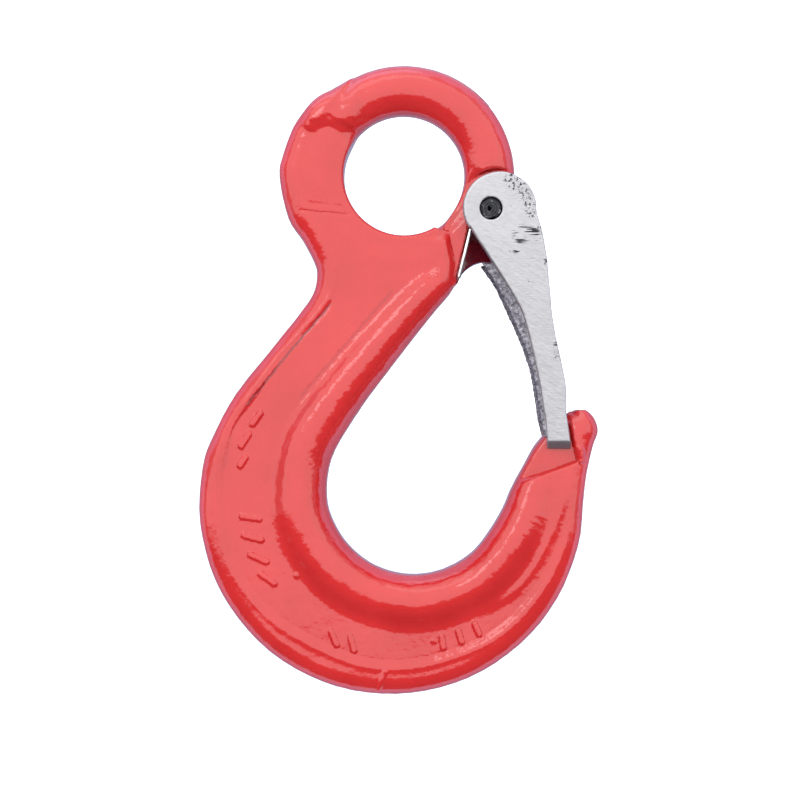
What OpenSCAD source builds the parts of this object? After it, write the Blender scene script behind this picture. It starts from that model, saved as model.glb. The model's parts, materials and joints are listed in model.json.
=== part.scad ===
// Safety chain hook: a forged eye sling hook with a sprung safety latch.
// The hook lies in the X-Z plane, its thickness runs along Y, and the centre of the eye is the origin.
// The hook hangs down from the eye (-Z) and its mouth opens towards +X.

/* [Eye] */
// Diameter of the hole that takes the coupling link
eye_bore_d = 27.6; // [26:0.2:29]
// Outer diameter of the eye's round ring
eye_outer_d = 51.2; // [50:0.2:53]
// Width of the flat land round the inside of the eye
eye_land = 6; // [4:0.5:8]

/* [Bowl] */
// Radius of the load seat inside the bowl
bowl_r = 20.5; // [19:0.5:22]
// Radius of the outside of the bowl
bowl_outer_r = 44.4; // [43:0.2:46]

/* [Sections] */
// Half thickness of the bead round the load seat
bead_half = 8.8; // [7.5:0.1:10]
// Half thickness of the recessed web
web_half = 5.4; // [4.5:0.1:6]
// Half thickness of the outer rim
rim_half = 6.4; // [5.5:0.1:7]
// Half thickness of the flat-sided shank and shoulder
shank_half = 6; // [5.6:0.1:6.1]
// Half thickness of the lug and the tongue that the latch straddles
lug_half = 4.5; // [4:0.1:4.6]

/* [Latch] */
// Outer width of the latch across its head
latch_head_w = 16; // [15:0.5:18]
// Outer width of the latch across the prongs at its end
latch_tip_w = 13.8; // [13.4:0.2:15]
// Thickness of the web that joins the two cheeks
latch_web_t = 2.4; // [2:0.2:2.8]
// Clearance between a cheek and the hook, on each side
side_gap = 0.3; // [0.2:0.05:0.5]

/* [Pin and spring] */
// Outer diameter of the coiled spring pin
pin_d = 5; // [4.5:0.1:5.2]
// Inner diameter of the coiled spring pin
pin_inner_d = 2.4; // [2:0.1:3]
// Gap between the pin's outer and inner turns
pin_gap = 0.08; // [0.04:0.02:0.12]
// Radial running clearance of the latch on the pin
pin_clearance = 0.08; // [0.03:0.01:0.1]
// How far each end of the pin lies inside the latch's side faces
pin_inset = 0.2; // [0:0.1:0.5]
// Diameter of the spring wire
wire_d = 1; // [0.8:0.1:1]

/* [Hidden] */
$fn = 96;

// Driving points in the X-Z plane
pivot = [19.8, -7.9];
bowl_centre = [2.4, -71.6];
bowl_outer_centre = [-3, -75];

// The latch's round head, and how far the latch swings inwards from its closed place
head_centre = [21.8, -7.8];
head_r = 8.3;
head_clearance = 0.6;
latch_travel = 31;

// The eye's ring is a torus whose round section is cut flat at the bore
bore_r = eye_bore_d / 2;
outer_r = eye_outer_d / 2;
ring_centre_r = (outer_r * outer_r - bore_r * bore_r - eye_land * eye_land / 4) / (2 * (outer_r - bore_r));
ring_section_r = outer_r - ring_centre_r;

// The latch's two cheeks
cheek_inner = lug_half + side_gap;
head_half = latch_head_w / 2;
tip_half = latch_tip_w / 2;
lip_half = 6.3;

// The lug round the pin, the hollow above its foot, and its lower edge, which clears the latch's web
lug_r = 6.5;
lug_hollow_centre = [19.1, -26.6];
lug_hollow_r = 6.8;
lug_foot_r = 12.1;

// Depths of the spring's pocket in the lug, measured along Y
pocket_floor = -0.9;
coil_near = -3.9;
coil_far = -1.45;
coil_clearance = 0.3;
coil_r = (pin_d + wire_d) / 2 + coil_clearance;
pocket_clearance = 0.5;
wire_sides = 8;

// Longer than anything that it cuts through
cut = 30;

// Points on an arc from angle a0 to angle a1
function arc(centre, r, a0, a1, n) =
    [for (i = [0:n]) let (a = a0 + (a1 - a0) * i / n) centre + r * [cos(a), sin(a)]];

// One smooth step between rows b and c of a table, with a and d as their neighbours
function blend_rows(a, b, c, d, t) =
    b + t / 2 * ((c - a) + t * ((2 * a - 5 * b + 4 * c - d) + t * (3 * (b - c) + d - a)));

// A smooth curve through every row of a table, with n steps between rows
function smooth(rows, n) =
    let (last = len(rows) - 1)
    [for (i = [0:last - 1], k = [0:n - 1])
        blend_rows(rows[max(i - 1, 0)], rows[i], rows[i + 1], rows[min(i + 2, last)], k / n),
     rows[last]];

// ---------------------------------------------------------------- hook body

// Ribs across the hook from its inner edge to its outer edge, from the eye's shoulder to the tip.
// Each row is the inner x and z, the outer x and z, then the half thickness of bead, web and rim.
neck_ribs = [
    [-8.2, 7.4, -18.8, 19, shank_half, shank_half, shank_half],
    [-9.6, 6, -22, 16.4, shank_half, shank_half, shank_half],
    [-11.3, 4.1, -26.6, 9.7, shank_half, shank_half, shank_half],
    [-12, 0, -28.7, 0, shank_half, shank_half, shank_half],
    [-11.3, -4.1, -26.7, -9.7, shank_half, shank_half, shank_half],
    [-8, -9, -23.2, -15, shank_half, shank_half, shank_half],
    [0, -12, -20.6, -20, shank_half, shank_half, shank_half],
    [11, -13, -20.1, -23, shank_half, shank_half, shank_half],
    [12.7, -19.5, -21, -27, shank_half, shank_half, shank_half],
    [11.4, -25.8, -24.4, -32, shank_half + 0.6, shank_half - 0.1, shank_half]
];
shank_ribs = [
    [6.4, -32, -29.2, -38, bead_half - 1.8, web_half + 0.3, shank_half],
    [-3.1, -44, -38.7, -50, bead_half - 0.8, web_half + 0.1, rim_half - 0.2],
    [-11.9, -56, -44.6, -60, bead_half - 0.2, web_half, rim_half],
    [-16.9, -65, -46.8, -67.5, bead_half, web_half, rim_half]
];
bowl_ribs = [for (a = [186:18:330])
    let (inner = bowl_centre + bowl_r * [cos(a), sin(a)],
         outer = bowl_outer_centre + bowl_outer_r * [cos(a), sin(a)])
    [inner[0], inner[1], outer[0], outer[1], bead_half, web_half, rim_half]];
tip_ribs = [
    [23.2, -76.5, 40.2, -85, bead_half - 0.8, web_half + 0.6, rim_half],
    [25, -72, 41.4, -75, bead_half - 1.5, web_half + 0.9, rim_half],
    [27.9, -66.5, 42.1, -69, bead_half - 2.1, web_half + 1, rim_half],
    [30.4, -62, 43.5, -62.5, rim_half, rim_half, rim_half],
    [33.4, -58.6, 44.7, -58.6, rim_half, rim_half, rim_half],
    [37.6, -54.8, 43.6, -55.2, 5.6, 5.6, 5.6],
    [39, -53.4, 41.8, -53.5, 3, 3, 3]
];
ribs = smooth(concat(neck_ribs, shank_ribs, bowl_ribs, tip_ribs), 2);

// Half of a rib's section, as distance from the inner edge and half thickness
bead_angles = [0, 22, 45, 68, 90];
foot_steps = [0.35, 0.7, 1];
function half_section(width, bead, web, rim) =
    let (bead_a = min(5.8, 0.24 * width), rim_a = min(4.6, 0.26 * width))
    concat(
        [for (a = bead_angles) [bead_a * (1 - cos(a)), bead * sin(a)]],
        [for (s = foot_steps) [bead_a * (1 + 0.9 * s), web + (bead - web) * pow(cos(90 * s), 2)]],
        [for (s = [1, 0.5]) [width - rim_a * (1 + 0.7 * s), web + (rim - web) * pow(cos(90 * s), 2)]],
        [for (a = [90, 60, 30, 0]) [width - rim_a * (1 - cos(a)), rim * sin(a)]]
    );

// The closed section of one rib in space
function rib_points(rib) =
    let (inner = [rib[0], rib[1]], outer = [rib[2], rib[3]], width = norm(outer - inner),
         along = (outer - inner) / width, half = half_section(width, rib[4], rib[5], rib[6]), n = len(half))
    concat(
        [for (p = half) let (c = inner + along * p[0]) [c[0], -p[1], c[1]]],
        [for (i = [n - 2:-1:1]) let (p = half[i], c = inner + along * p[0]) [c[0], p[1], c[1]]]
    );

// A solid skin over a list of rings that all have the same number of points
module skin(rings) {
    n = len(rings[0]);
    last = len(rings) - 1;
    points = [for (r = rings, p = r) p];
    sides = [for (i = [0:last - 1], j = [0:n - 1])
        let (a = i * n + j, b = i * n + (j + 1) % n, c = a + n, d = b + n)
        each [[a, c, b], [b, c, d]]];
    caps = [[for (j = [0:n - 1]) j], [for (j = [n - 1:-1:0]) last * n + j]];
    polyhedron(points, concat(sides, caps), convexity = 10);
}

// Extrudes an outline drawn in X-Z along Y, between two values of y
module plate(y0, y1) {
    translate([0, y1, 0])
        rotate([90, 0, 0])
            linear_extrude(y1 - y0)
                children();
}

// The same outline cut from both faces of the hook, down to a half thickness
module cut_both_faces(half) {
    for (y = [half, -half - cut])
        plate(y, y + cut)
            children();
}

// A point in the X-Z plane turned about the pivot by the latch's swing
function swung(p, a) =
    let (d = p - pivot)
    pivot + [d[0] * cos(a) + d[1] * sin(a), d[1] * cos(a) - d[0] * sin(a)];

// Everything that the latch's cheeks sweep over beside the lug
module cheek_recess_outline() {
    for (a = [0, latch_travel])
        translate(swung(head_centre, a))
            circle(head_r + head_clearance);
    polygon([[13.4, -5.5], [10.4, -13.5], [11.9, -20.5], [11.9, -30], [40, -30], [30, -8]]);
}

// The seat on the tip where the latch's prongs close against a step
module tip_recess_outline() {
    polygon([[20, -45], [37.4, -45], [37.4, -54.4], [38.3, -60.8], [39.4, -65.2], [34, -67.2],
             [27.3, -69.3], [20, -70.5]]);
}

// The lug in the middle of the hook's thickness, which the pin goes through
module lug_outline() {
    polygon(concat(
        [[6, -18], [10, -25.4], [11.9, -25.2]],
        arc(lug_hollow_centre, lug_hollow_r, 162, 104, 6),
        arc(pivot, lug_foot_r, -98, -75, 4),
        arc(pivot, lug_r, -45, 40, 6),
        [[20, 6], [14, 0]]
    ));
}

// Pocket in the near face of the lug for the spring's coil and its two legs
module spring_pocket_outline() {
    translate(pivot)
        circle(coil_r + wire_d / 2 + pocket_clearance);
    polygon([[15.9, -7.3], [11.9, -23], [11.9, -30], [34, -30], [28, -9], [24, -6]]);
}

module hook_body() {
    color("red")
        difference() {
            union() {
                rotate([90, 0, 0])
                    rotate_extrude()
                        translate([ring_centre_r, 0])
                            circle(ring_section_r);
                difference() {
                    skin([for (r = ribs) rib_points(r)]);
                    rotate([90, 0, 0])
                        cylinder(h = 2 * cut, r = ring_centre_r - 0.3, center = true);
                }
                difference() {
                    plate(-lug_half, lug_half)
                        lug_outline();
                    rotate([90, 0, 0])
                        cylinder(h = 2 * cut, r = bore_r + 1, center = true);
                }
            }
            rotate([90, 0, 0])
                cylinder(h = 2 * cut, r = bore_r, center = true);
            translate([pivot[0], 0, pivot[1]])
                rotate([90, 0, 0])
                    cylinder(h = 2 * cut, d = pin_d, center = true);
            cut_both_faces(lug_half)
                cheek_recess_outline();
            cut_both_faces(lug_half)
                tip_recess_outline();
            plate(-lug_half - cut, pocket_floor)
                spring_pocket_outline();
        }
}

// -------------------------------------------------------------------- latch

// Back edge of the latch, from the round head down to the end of its web
latch_back = smooth([[30.3, -9.2], [31.5, -13.3], [32.6, -20], [33.5, -29.6], [34.6, -37.3],
                     [36.5, -46], [37, -50.3]], 2);
// Front edge of a cheek, from the end of its prong up to the head
latch_front = smooth([[32.7, -60.6], [32.1, -55], [30.9, -47.7], [29.5, -41], [27.6, -33.5], [25, -27.8],
                      [15.1, -12.3]], 3);
prong_end_z = -62.7;
bevel = 1.6;
bevel_top_z = prong_end_z + 1.9;
taper_top_z = -14;
web_top_z = -3.9;
web_end_z = -51.6;

module cheek_outline() {
    polygon(concat(
        arc(head_centre, head_r, 216, -2, 20),
        latch_back,
        [[37, -54.3], [37.9, -60.8], [38.1, prong_end_z], [32.8, prong_end_z]],
        latch_front
    ));
}

// Thin lip along the front edge of a cheek, which starts just below the lug
module lip_outline() {
    polygon(concat(
        [[18, -20.4]],
        smooth([[18.4, -21], [21.2, -25], [24, -31], [27, -37.6], [29.4, -44.5], [30.4, -50], [31.3, -56],
                [32.2, -59.8]], 2),
        [[34, -59.8], [33, -50], [30, -20.4]]
    ));
}

// Space inside the latch, open towards the hook's mouth and round the head
module channel_outline() {
    web = [for (p = latch_back) p - [latch_web_t, 0]];
    beside = 50;
    below = prong_end_z - 5;
    polygon(concat(
        [[0, 8], [beside, 8], [beside, web_top_z], [web[0][0], web_top_z]],
        web,
        [[web[len(web) - 1][0], web_end_z], [beside, web_end_z], [beside, below], [0, below]]
    ));
}

// The latch's width at each height, tapering towards its end and bevelled at the bottom
module width_profile() {
    polygon([
        [-head_half, 5], [head_half, 5], [head_half, taper_top_z], [tip_half, bevel_top_z],
        [tip_half - bevel, prong_end_z], [bevel - tip_half, prong_end_z], [-tip_half, bevel_top_z],
        [-head_half, taper_top_z]
    ]);
}

module latch() {
    color("silver")
        difference() {
            intersection() {
                plate(-head_half, head_half)
                    cheek_outline();
                rotate([90, 0, 90])
                    linear_extrude(2 * cut)
                        width_profile();
            }
            plate(-cheek_inner, cheek_inner)
                channel_outline();
            translate([pivot[0], 0, pivot[1]])
                rotate([90, 0, 0])
                    cylinder(h = cut, r = pin_d / 2 + pin_clearance, center = true);
        }
    color("dimgray")
        for (side = [-1, 1])
            plate(side > 0 ? cheek_inner : -lip_half, side > 0 ? lip_half : -cheek_inner)
                lip_outline();
}

// --------------------------------------------------------------- spring pin

// The pin is a strip rolled into nearly two turns, and this is the thin space between them.
// It runs in from the outer surface, round between the turns, and on into the hollow.
pin_wrap = 300;
module turn_gap_outline() {
    r = (pin_d + pin_inner_d) / 4;
    translate([r, -pin_gap / 2])
        square([pin_d, pin_gap]);
    polygon(concat(
        arc([0, 0], r + pin_gap / 2, 0, pin_wrap, 50),
        arc([0, 0], r - pin_gap / 2, pin_wrap, 0, 50)
    ));
    rotate(pin_wrap)
        translate([0, -pin_gap / 2])
            square([r, pin_gap]);
}

module spring_pin() {
    length = latch_head_w - 2 * pin_inset;
    color("black")
        translate([pivot[0], 0, pivot[1]])
            rotate([90, 60, 0])
                difference() {
                    cylinder(h = length, d = pin_d, center = true);
                    cylinder(h = length + 1, d = pin_inner_d, center = true);
                    translate([0, 0, -length])
                        linear_extrude(2 * length)
                            turn_gap_outline();
                }
}

// ------------------------------------------------------------- latch spring

// Angles on the coil where each leg leaves it, and the far end of each leg
hook_leg_angle = 165.6;
latch_leg_angle = 21.4;
coil_turns = 2;
hook_leg_end = [12.5, -23.6];
latch_leg_end = [29.7, -24.4];
coil_steps = 40;

function to_space(p, y) = [p[0], y, p[1]];

// Centre line of the wire: down one leg's end, round the coil, and out along the other leg
spring_sweep = 360 * coil_turns + hook_leg_angle - latch_leg_angle;
spring_path = concat(
    [to_space(hook_leg_end, coil_near)],
    [for (i = [0:coil_steps])
        let (s = i / coil_steps, a = hook_leg_angle - spring_sweep * s)
        to_space(pivot + coil_r * [cos(a), sin(a)], coil_near + (coil_far - coil_near) * s)],
    [to_space(latch_leg_end, coil_far)]
);

function unit(v) = v / norm(v);

// A ring of points round the wire at step i of the path
function wire_ring(path, i, r) =
    let (last = len(path) - 1, along = unit(path[min(i + 1, last)] - path[max(i - 1, 0)]),
         side = unit(cross(along, [0, 1, 0])), up = cross(side, along))
    [for (k = [0:wire_sides - 1])
        let (a = 360 * (k + 0.5) / wire_sides)
        path[i] + r * (cos(a) * side + sin(a) * up)];

module latch_spring() {
    color("gainsboro")
        skin([for (i = [0:len(spring_path) - 1]) wire_ring(spring_path, i, wire_d / 2)]);
}

hook_body();
latch();
spring_pin();
latch_spring();
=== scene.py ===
import json
import math

import bmesh
import bpy
import numpy as np
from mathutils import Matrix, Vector


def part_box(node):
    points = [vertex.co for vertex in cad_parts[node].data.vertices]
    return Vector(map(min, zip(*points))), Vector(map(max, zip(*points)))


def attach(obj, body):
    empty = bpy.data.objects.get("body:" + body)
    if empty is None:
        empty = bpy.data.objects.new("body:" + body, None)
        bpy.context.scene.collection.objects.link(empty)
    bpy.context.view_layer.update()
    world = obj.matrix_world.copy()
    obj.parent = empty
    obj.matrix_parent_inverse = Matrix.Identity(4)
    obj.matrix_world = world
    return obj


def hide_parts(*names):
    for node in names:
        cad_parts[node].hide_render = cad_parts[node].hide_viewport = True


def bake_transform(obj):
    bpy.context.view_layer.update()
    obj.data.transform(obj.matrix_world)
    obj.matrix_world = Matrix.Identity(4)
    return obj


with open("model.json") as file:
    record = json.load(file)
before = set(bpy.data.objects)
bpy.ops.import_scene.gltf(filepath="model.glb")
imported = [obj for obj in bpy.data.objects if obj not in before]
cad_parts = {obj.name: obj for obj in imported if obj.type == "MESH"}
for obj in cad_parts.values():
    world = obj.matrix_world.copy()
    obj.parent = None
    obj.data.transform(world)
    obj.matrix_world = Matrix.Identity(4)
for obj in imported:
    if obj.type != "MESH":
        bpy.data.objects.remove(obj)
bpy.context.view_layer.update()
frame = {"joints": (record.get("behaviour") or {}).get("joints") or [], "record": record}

# Shapes are worked out in millimetres in the row frame, then made in metres.
# The hook lies in the X-Z plane, its thickness runs along Y, and the eye's centre is the origin.
MM = 0.001
HINGE = frame["joints"][0]
PIVOT = np.array([HINGE["pos_m"][0], HINGE["pos_m"][2]]) / MM
EYE = next(m for m in frame["record"]["mounts"] if m["name"] == "eye")
BORE_R = EYE["dims"]["r_mm"]

# Spacing of the points that shapes are worked out on, over the X-Z plane and in each piece's mesh
HOOK_PLAN_PITCH, HOOK_PITCH = ((0.15, 0.38))
LATCH_PLAN_PITCH, LATCH_PITCH = ((0.12, 0.28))
# How far those points reach past a piece's box
PLAN_MARGIN, MESH_MARGIN = 2, 1
# How far from a point a field is read to find its slope, to move the point and to set its normal
MOVE_REACH, NORMAL_REACH = 0.08, 0.05
# A mesh with more triangles than this is thinned out
TRIANGLE_LIMIT = 190000

# How bright the studio is on each side of the hook, and low in front, where the gloss sees a dark floor
FRONT_LEVEL, TOP_LEVEL, BEHIND_LEVEL, SIDE_LEVEL, LOW_LEVEL = 2.4, 1.1, 0.5, 0.6, 0.03
# Light from just behind the hook's edges, which is brighter and cooler
BESIDE_LEVEL, COOL = 2.2, (0.55, 0.68, 1.0)


# ------------------------------------------------------------------ camera, floor and light

def make_camera():
    """A 100 mm lens that looks along +Y at the middle of the hook."""
    data = bpy.data.cameras.new("camera")
    data.lens = 100
    data.sensor_width = 36
    camera = bpy.data.objects.new("camera", data)
    camera.location = (-0.0009, -0.513, -0.0515)
    camera.rotation_euler = (math.radians(90), 0, 0)
    bpy.context.scene.collection.objects.link(camera)
    bpy.context.scene.camera = camera


def add_plane(name, centre, size):
    """A flat rectangle, size = (width, depth) in metres."""
    w, d = size[0] / 2, size[1] / 2
    mesh = bpy.data.meshes.new(name)
    mesh.from_pydata([(-w, -d, 0), (w, -d, 0), (w, d, 0), (-w, d, 0)], [], [(0, 1, 2, 3)])
    plane = bpy.data.objects.new(name, mesh)
    plane.location = centre
    bpy.context.scene.collection.objects.link(plane)
    return plane


def plain_material(name, color, roughness):
    """One colour with little gloss."""
    material = bpy.data.materials.new(name)
    material.use_nodes = True
    shader = material.node_tree.nodes["Principled BSDF"]
    shader.inputs["Base Color"].default_value = (*color, 1)
    shader.inputs["Roughness"].default_value = roughness
    shader.inputs["Specular IOR Level"].default_value = 0.2
    return material


def make_floor():
    """A pale floor well below the hook, which hangs from its eye."""
    floor = add_plane("floor", (0, 0, -0.19), (6, 6))
    floor.data.materials.append(plain_material("floor_pale", (0.86, 0.86, 0.86), 0.9))
    floor.visible_glossy = False


def add_area(name, centre, size, power, aim):
    """A rectangular studio light of size (width, height) that faces the point aim."""
    data = bpy.data.lights.new(name, "AREA")
    data.shape = "RECTANGLE"
    data.size, data.size_y = size
    data.energy = power
    light = bpy.data.objects.new(name, data)
    light.location = centre
    light.rotation_euler = (Vector(aim) - Vector(centre)).to_track_quat("-Z", "Y").to_euler()
    bpy.context.scene.collection.objects.link(light)


def smooth_range(tree, source, low, high, to_low=0.0, to_high=1.0):
    """A smooth step of a value from low to high, spread between two other numbers."""
    node = tree.nodes.new("ShaderNodeMapRange")
    node.interpolation_type = "SMOOTHSTEP"
    for name, value in (("From Min", low), ("From Max", high), ("To Min", to_low), ("To Max", to_high)):
        node.inputs[name].default_value = value
    tree.links.new(source, node.inputs["Value"])
    return node.outputs["Result"]


def calculate(tree, operation, a, b):
    """A math node on two values, each a number or a socket."""
    node = tree.nodes.new("ShaderNodeMath")
    node.operation = operation
    for socket, value in zip(node.inputs, (a, b)):
        if isinstance(value, (int, float)):
            socket.default_value = value
        else:
            tree.links.new(value, socket)
    return node.outputs[0]


def make_world():
    """A studio with a bright front, a softer top and back, dim sides, and cool light just behind the hook's
    edges. The camera sees the background as white."""
    world = bpy.data.worlds.new("studio")
    bpy.context.scene.world = world
    world.use_nodes = True
    tree = world.node_tree
    direction = tree.nodes.new("ShaderNodeSeparateXYZ")
    place = tree.nodes.new("ShaderNodeTexCoord")
    tree.links.new(place.outputs["Generated"], direction.inputs[0])
    # Each runs from -1 to 1: +x to the right, +y away from the camera and +z up
    x, y, z = direction.outputs
    sideways = calculate(tree, "ABSOLUTE", x, 0)
    ahead = calculate(tree, "MULTIPLY", smooth_range(tree, y, -0.12, -0.3),
                      smooth_range(tree, sideways, 0.99, 0.9))
    level = smooth_range(tree, ahead, 0, 1, SIDE_LEVEL, FRONT_LEVEL)
    level = calculate(tree, "MAXIMUM", level, smooth_range(tree, z, 0.3, 0.6, 0, TOP_LEVEL))
    low_in_front = calculate(tree, "MULTIPLY", smooth_range(tree, z, -0.16, -0.26),
                             smooth_range(tree, y, 0.1, -0.1))
    level = calculate(tree, "MULTIPLY", level, calculate(tree, "SUBTRACT", 1 + LOW_LEVEL, low_in_front))
    behind = smooth_range(tree, y, -0.12, 0.12)
    level = calculate(tree, "MAXIMUM", level, calculate(
        tree, "MULTIPLY", behind, smooth_range(tree, y, 0.1, 0.8, BESIDE_LEVEL, BEHIND_LEVEL)))
    seen = tree.nodes.new("ShaderNodeLightPath").outputs["Is Camera Ray"]
    shown = calculate(tree, "MAXIMUM", level, calculate(tree, "MULTIPLY", seen, 1.5))
    cool = calculate(tree, "MULTIPLY", behind, calculate(tree, "SUBTRACT", 1, seen))
    background = tree.nodes["Background"]
    tree.links.new(mix_color(tree, cool, (1.0, 1.0, 1.0), COOL), background.inputs["Color"])
    tree.links.new(shown, background.inputs["Strength"])


def make_lights():
    """A soft light overhead to the left, which whitens the floor, and a strip for the highlights."""
    add_area("softbox_top", (-0.35, -0.1, 1.3), (1.4, 1.4), 5, (0, 0, -0.05))
    add_area("strip", (-0.42, -0.85, 0.42), (0.4, 0.25), 1.1, (0, 0, -0.05))


# ------------------------------------------------------------------ fields, in millimetres

def polyline_distance(points, line):
    """Distance from each (x, z) point to a polyline, and where along it, counted in its points."""
    best = np.full(len(points), 1e9)
    where = np.zeros(len(points))
    for i in range(len(line) - 1):
        a, d = line[i], line[i + 1] - line[i]
        t = np.clip(((points - a) @ d) / (d @ d), 0, 1)
        r = np.hypot(*(points - a - t[:, None] * d).T)
        near = r < best
        best = np.where(near, r, best)
        where = np.where(near, i + t, where)
    return best, where


def inside_polygon(points, ring):
    """Whether each (x, z) point is inside a closed polygon."""
    x, z = points.T
    found = np.zeros(len(points), bool)
    for (x0, z0), (x1, z1) in zip(ring, np.roll(ring, -1, axis=0)):
        crosses = (z0 > z) != (z1 > z)
        if z1 != z0:
            found ^= crosses & (x < (x1 - x0) * (z - z0) / (z1 - z0) + x0)
    return found


def smooth_min(a, b, k):
    """The lower of two fields, rounded over a distance k where they meet."""
    h = np.clip(0.5 + 0.5 * (b - a) / k, 0, 1)
    return b + (a - b) * h - k * h * (1 - h)


def smooth_max(a, b, k):
    """The higher of two fields, rounded in the same way."""
    return -smooth_min(-a, -b, k)


def step(x, low, high):
    """A smooth step from 0 at low to 1 at high."""
    t = np.clip((x - low) / (high - low), 0, 1)
    return t * t * (3 - 2 * t)


def spline(rows, steps):
    """A smooth curve through every row, with that many steps between rows."""
    rows = np.array(rows, float)
    padded = np.vstack([rows[:1], rows, rows[-1:]])
    out = []
    for i in range(len(rows) - 1):
        a, b, c, d = padded[i:i + 4]
        for t in np.arange(steps) / steps:
            bend = (2 * a - 5 * b + 4 * c - d) + t * (3 * (b - c) + d - a)
            out.append(b + t / 2 * ((c - a) + t * bend))
    out.append(rows[-1])
    return np.array(out)


def arc(centre, radius, start, end, count):
    """Points on an arc between two angles in degrees."""
    a = np.radians(np.linspace(start, end, count))
    return np.array(centre) + radius * np.stack([np.cos(a), np.sin(a)], 1)


def signed_distance(points, ring):
    """Distance to a closed polygon's edge, positive inside it."""
    ring = np.array(ring, float)
    edge, _ = polyline_distance(points, np.vstack([ring, ring[:1]]))
    return np.where(inside_polygon(points, ring), edge, -edge)


def capsule_distance(points, a, b, radius):
    """Distance to a short bar with round ends, negative inside it."""
    edge, _ = polyline_distance(points, np.array([a, b], float))
    return edge - radius


def lumps(x, y, z, size, seed):
    """Smooth random lumps between about -1 and 1, of roughly the given size."""
    rng = np.random.default_rng(seed)
    total = 0
    for _ in range(7):
        direction = rng.normal(size=3)
        direction *= 2 * math.pi / size * rng.uniform(0.6, 1.5) / np.linalg.norm(direction)
        phase = rng.uniform(0, 2 * math.pi)
        total = total + np.sin(direction[0] * x + direction[1] * y + direction[2] * z + phase)
    return total / 3.5


def slab(u, y, half, radius):
    """A plate of the given half thickness, whose edge at u = 0 is rounded by radius."""
    across, up = radius - u, np.abs(y) - (half - radius)
    corner = np.hypot(np.maximum(across, 0), np.maximum(up, 0))
    return corner + np.minimum(np.maximum(across, up), 0) - radius


def cut_away(field, cutter, softness):
    """The field with another solid taken out of it, and the new edges rounded."""
    return smooth_max(field, -cutter, softness)


class Plan:
    """Values measured once over a fine X-Z grid, then read anywhere between its points."""

    def __init__(self, box, pitch, measure):
        self.low = np.array([box[0][0], box[0][2]]) - PLAN_MARGIN
        high = np.array([box[1][0], box[1][2]]) + PLAN_MARGIN
        self.pitch = pitch
        across, tall = np.meshgrid(*(np.arange(a, b, pitch) for a, b in zip(self.low, high)), indexing="ij")
        columns = measure(np.stack([across.ravel(), tall.ravel()], 1))
        self.values = np.stack(columns, 1).reshape(*across.shape, -1)

    def __call__(self, x, z):
        place = (np.stack([x, z], 1) - self.low) / self.pitch
        place = np.clip(place, 0, np.array(self.values.shape[:2]) - 1.001)
        corner = place.astype(int)
        (i, j), (u, v) = corner.T, (place - corner).T[:, :, None]
        left = self.values[i, j] * (1 - v) + self.values[i, j + 1] * v
        right = self.values[i + 1, j] * (1 - v) + self.values[i + 1, j + 1] * v
        return (left * (1 - u) + right * u).T


CORNERS = [(i, j, k) for i in (0, 1) for j in (0, 1) for k in (0, 1)]


def surface_net(values, low, pitch):
    """Vertices and quads of the surface where a grid of field values changes sign."""
    inside = values < 0
    n = np.array(values.shape) - 1
    total = sum(inside[i:n[0] + i, j:n[1] + j, k:n[2] + k].astype(np.int8) for i, j, k in CORNERS)
    active = (total > 0) & (total < 8)
    cells = np.argwhere(active)
    number = np.full(n, -1)
    number[active] = np.arange(len(cells))
    sums, counts = np.zeros((len(cells), 3)), np.zeros(len(cells))
    for corner in CORNERS:
        for axis in range(3):
            if corner[axis]:
                continue
            end = list(corner)
            end[axis] = 1
            a = values[tuple((cells + corner).T)]
            b = values[tuple((cells + end).T)]
            crosses = (a < 0) != (b < 0)
            point = (cells + corner).astype(float)
            point[:, axis] += np.where(crosses, a / np.where(crosses, a - b, 1), 0)
            sums += point * crosses[:, None]
            counts += crosses
    quads = []
    for axis in range(3):
        near = np.take(inside, range(n[axis]), axis)
        far = np.take(inside, range(1, n[axis] + 1), axis)
        edges = np.argwhere(near != far)
        u, v = (axis + 1) % 3, (axis + 2) % 3
        edges = edges[(edges[:, u] > 0) & (edges[:, v] > 0) & (edges[:, u] < n[u]) & (edges[:, v] < n[v])]
        du, dv = np.eye(3, dtype=int)[u], np.eye(3, dtype=int)[v]
        quad = np.stack([number[tuple(c.T)] for c in (edges - du - dv, edges - dv, edges, edges - du)], 1)
        outward = near[tuple(edges.T)]
        quads.append(np.where(outward[:, None], quad, quad[:, ::-1]))
    return low + pitch * sums / counts[:, None], np.vstack(quads)


def field_gradient(field, points, reach):
    """The field's slope at each point."""
    slopes = []
    for axis in range(3):
        shift = np.eye(3)[axis] * reach
        slopes.append((field(*(points + shift).T) - field(*(points - shift).T)) / (2 * reach))
    return np.stack(slopes, 1)


def new_piece(name, mesh):
    """An object made of the mesh, in the scene."""
    mesh.update(calc_edges=True)
    mesh.validate()
    piece = bpy.data.objects.new(name, mesh)
    bpy.context.scene.collection.objects.link(piece)
    return piece


def onto_field(field, points, reach):
    """The points moved onto the field's surface, by at most reach at each of two steps."""
    for _ in range(2):
        slope = field_gradient(field, points, MOVE_REACH)
        size = np.maximum((slope ** 2).sum(1), 0.05)
        move = -(field(*points.T) / size)[:, None] * slope
        length = np.linalg.norm(move, axis=1)[:, None]
        points = points + move * np.minimum(1, reach / np.maximum(length, 1e-9))
    return points


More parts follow.
